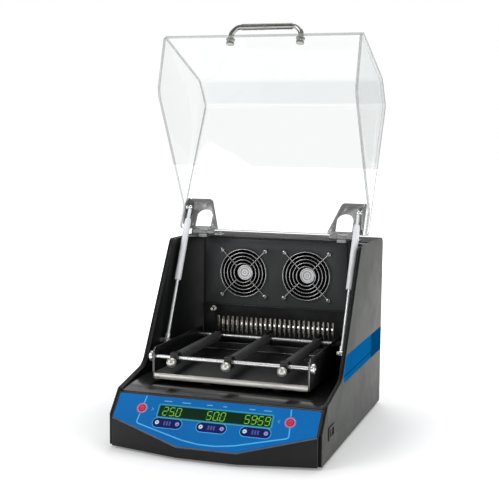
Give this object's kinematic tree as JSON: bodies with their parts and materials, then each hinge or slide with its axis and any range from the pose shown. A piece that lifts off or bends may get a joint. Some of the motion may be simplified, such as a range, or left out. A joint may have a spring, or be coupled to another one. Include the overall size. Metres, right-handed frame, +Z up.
{
  "type": "orbital shaker",
  "caption": "Benchtop incubating orbital shaker with a raised clear hood, a clamp-bar platform over a dark chamber, two rear fans and a faceted front with a sloping key panel.",
  "frame": {"origin": "on the ground, centre of the whole machine's footprint with the hood open", "axes": "+Z up, +Y from the front of the machine to the back, +X to the right seen from the front"},
  "size_m": [0.3633, 0.4765, 0.7072],
  "materials": {
    "side_paint": "satin",
    "cover_paint": "satin",
    "side_film": "satin",
    "fascia_paint": "satin",
    "overlay_film": "satin",
    "display_lens": "gloss",
    "key_red": "gloss",
    "key_navy": "satin",
    "circuit_board": "satin",
    "zinc_sheet": "satin",
    "foot_rubber": "matte",
    "tub_enamel": "gloss",
    "panel_enamel": "satin",
    "black_moulding": "satin",
    "fan_hub": "satin",
    "bright_wire": "polished",
    "heater_fins": "satin",
    "probe_steel": "satin",
    "supply_case": "satin",
    "bearing_alloy": "satin",
    "crank_steel": "satin",
    "weight_iron": "matte",
    "motor_case": "satin",
    "pulley_alloy": "satin",
    "belt_rubber": "matte",
    "carriage_alloy": "satin",
    "tray_enamel": "satin",
    "edge_steel": "satin",
    "rod_chrome": "polished",
    "knob_chrome": "polished",
    "clamp_steel": "satin",
    "sleeve_rubber": "matte",
    "hood_acrylic": "gloss",
    "handle_steel": "polished",
    "hinge_steel": "satin",
    "strut_silver": "gloss",
    "screw_steel": "satin"
  },
  "bodies": {
    "root": {"side_panels": "side_paint", "side_graphics": "side_film", "front_fascia": "fascia_paint", "control_overlay": "overlay_film", "display_window": "display_lens", "control_board": "circuit_board", "base_pan": "zinc_sheet", "feet": "foot_rubber", "chamber_tub": "tub_enamel", "fan_panel": "panel_enamel", "rear_cover": "cover_paint", "power_inlet": "black_moulding", "power_switch_housing": "black_moulding", "fan_guards": "bright_wire", "fan_frames": "black_moulding", "air_heater": "heater_fins", "temperature_probe": "probe_steel", "power_supply": "supply_case", "panel_screws": "screw_steel", "spindle_housings": "bearing_alloy", "drive_motor": "motor_case", "motor_bracket": "zinc_sheet", "drive_belt": "belt_rubber", "strut_base_studs": "screw_steel", "hinge_leaves": "hinge_steel"},
    "lid": {"lid_shell": "hood_acrylic", "lid_sides": "hood_acrylic", "lid_handle": "handle_steel", "hinge_brackets": "hinge_steel"},
    "strut_rod_left": {"strut_rod_left": "rod_chrome"},
    "strut_rod_right": {"strut_rod_right": "rod_chrome"},
    "strut_cylinder_left": {"strut_cylinder_left": "strut_silver"},
    "strut_cylinder_right": {"strut_cylinder_right": "strut_silver"},
    "crank": {"drive_crank": "crank_steel", "crank_counterweight": "weight_iron"},
    "idler_left": {"idler_crank_left": "crank_steel"},
    "idler_right": {"idler_crank_right": "crank_steel"},
    "motor_rotor": {"motor_pulley": "pulley_alloy"},
    "platform": {"carriage_plate": "carriage_alloy", "platform_tray": "tray_enamel", "tray_front_edge": "edge_steel", "clamp_rods": "rod_chrome", "rod_end_knobs": "knob_chrome"},
    "bar_1": {"clamp_bar_1": "clamp_steel", "clamp_sleeve_1": "sleeve_rubber"},
    "bar_2": {"clamp_bar_2": "clamp_steel", "clamp_sleeve_2": "sleeve_rubber"},
    "bar_3": {"clamp_bar_3": "clamp_steel", "clamp_sleeve_3": "sleeve_rubber"},
    "fan_left": {"fan_impeller_left": "fan_hub"},
    "fan_right": {"fan_impeller_right": "fan_hub"},
    "rocker": {"power_rocker": "black_moulding"},
    "key_start_left": {"key_start_left": "key_red"},
    "key_start_right": {"key_start_right": "key_red"},
    "key_set_1": {"key_set_1": "key_navy"},
    "key_set_2": {"key_set_2": "key_navy"},
    "key_set_3": {"key_set_3": "key_navy"},
    "key_set_4": {"key_set_4": "key_navy"},
    "key_set_5": {"key_set_5": "key_navy"},
    "key_set_6": {"key_set_6": "key_navy"}
  },
  "joints": [
    {"name": "lid_hinge", "type": "hinge", "parent": "root", "child": "lid", "pos_m": [0, 0.093, 0.3313], "axis": [1, 0, 0], "range_deg": [0, 118.8]},
    {"name": "strut_swing_left", "type": "hinge", "parent": "root", "child": "strut_rod_left", "pos_m": [-0.161, -0.0115, 0.142], "axis": [1, 0, 0], "range_deg": [0, 5.79]},
    {"name": "strut_stroke_left", "type": "slide", "parent": "strut_rod_left", "child": "strut_cylinder_left", "axis": [0, 0.4304, 0.9026], "range_m": [-0.0741, 0]},
    {"name": "strut_swing_right", "type": "hinge", "parent": "root", "child": "strut_rod_right", "pos_m": [0.161, -0.0115, 0.142], "axis": [1, 0, 0], "range_deg": [0, 5.79]},
    {"name": "strut_stroke_right", "type": "slide", "parent": "strut_rod_right", "child": "strut_cylinder_right", "axis": [0, 0.4304, 0.9026], "range_m": [-0.0741, 0]},
    {"name": "crank_spin", "type": "hinge", "parent": "root", "child": "crank", "pos_m": [0, -0.0235, 0.044], "axis": [0, 0, 1], "continuous": true},
    {"name": "platform_orbit", "type": "hinge", "parent": "crank", "child": "platform", "pos_m": [0, -0.014, 0.069], "axis": [0, 0, 1], "continuous": true},
    {"name": "idler_spin_left", "type": "hinge", "parent": "root", "child": "idler_left", "pos_m": [-0.105, -0.0235, 0.044], "axis": [0, 0, 1], "continuous": true},
    {"name": "idler_spin_right", "type": "hinge", "parent": "root", "child": "idler_right", "pos_m": [0.105, -0.0235, 0.044], "axis": [0, 0, 1], "continuous": true},
    {"name": "motor_spin", "type": "hinge", "parent": "root", "child": "motor_rotor", "pos_m": [0.07, 0.0825, 0.044], "axis": [0, 0, 1], "continuous": true},
    {"name": "bar_slide_1", "type": "slide", "parent": "platform", "child": "bar_1", "axis": [1, 0, 0], "range_m": [-0.0255, 0.0295]},
    {"name": "bar_slide_2", "type": "slide", "parent": "platform", "child": "bar_2", "axis": [1, 0, 0], "range_m": [-0.0465, 0.043]},
    {"name": "bar_slide_3", "type": "slide", "parent": "platform", "child": "bar_3", "axis": [1, 0, 0], "range_m": [-0.033, 0.0315]},
    {"name": "fan_spin_left", "type": "hinge", "parent": "root", "child": "fan_left", "pos_m": [-0.061, 0.1355, 0.2545], "axis": [0, 1, 0], "continuous": true},
    {"name": "fan_spin_right", "type": "hinge", "parent": "root", "child": "fan_right", "pos_m": [0.061, 0.1355, 0.2545], "axis": [0, 1, 0], "continuous": true},
    {"name": "rocker_tilt", "type": "hinge", "parent": "root", "child": "rocker", "pos_m": [0.175, -0.1535, 0.047], "axis": [0, 0, 1], "range_deg": [-14, 0]},
    {"name": "press_start_left", "type": "slide", "parent": "root", "child": "key_start_left", "axis": [0, 0.752, -0.6592], "range_m": [0, 0.0005], "stiffness_N_per_m": 600},
    {"name": "press_start_right", "type": "slide", "parent": "root", "child": "key_start_right", "axis": [0, 0.752, -0.6592], "range_m": [0, 0.0005], "stiffness_N_per_m": 600},
    {"name": "press_set_1", "type": "slide", "parent": "root", "child": "key_set_1", "axis": [0, 0.752, -0.6592], "range_m": [0, 0.0005], "stiffness_N_per_m": 600},
    {"name": "press_set_2", "type": "slide", "parent": "root", "child": "key_set_2", "axis": [0, 0.752, -0.6592], "range_m": [0, 0.0005], "stiffness_N_per_m": 600},
    {"name": "press_set_3", "type": "slide", "parent": "root", "child": "key_set_3", "axis": [0, 0.752, -0.6592], "range_m": [0, 0.0005], "stiffness_N_per_m": 600},
    {"name": "press_set_4", "type": "slide", "parent": "root", "child": "key_set_4", "axis": [0, 0.752, -0.6592], "range_m": [0, 0.0005], "stiffness_N_per_m": 600},
    {"name": "press_set_5", "type": "slide", "parent": "root", "child": "key_set_5", "axis": [0, 0.752, -0.6592], "range_m": [0, 0.0005], "stiffness_N_per_m": 600},
    {"name": "press_set_6", "type": "slide", "parent": "root", "child": "key_set_6", "axis": [0, 0.752, -0.6592], "range_m": [0, 0.0005], "stiffness_N_per_m": 600}
  ],
  "couplings": [
    {"joint": "strut_swing_left", "follows": "lid_hinge", "ratio": 0.048656},
    {"joint": "strut_stroke_left", "follows": "lid_hinge", "m_per_rad": -0.035671},
    {"joint": "strut_swing_right", "follows": "lid_hinge", "ratio": 0.048656},
    {"joint": "strut_stroke_right", "follows": "lid_hinge", "m_per_rad": -0.035671},
    {"joint": "platform_orbit", "follows": "crank_spin", "ratio": -1},
    {"joint": "idler_spin_left", "follows": "crank_spin", "ratio": 1},
    {"joint": "idler_spin_right", "follows": "crank_spin", "ratio": 1},
    {"joint": "motor_spin", "follows": "crank_spin", "ratio": 4.4615}
  ]
}
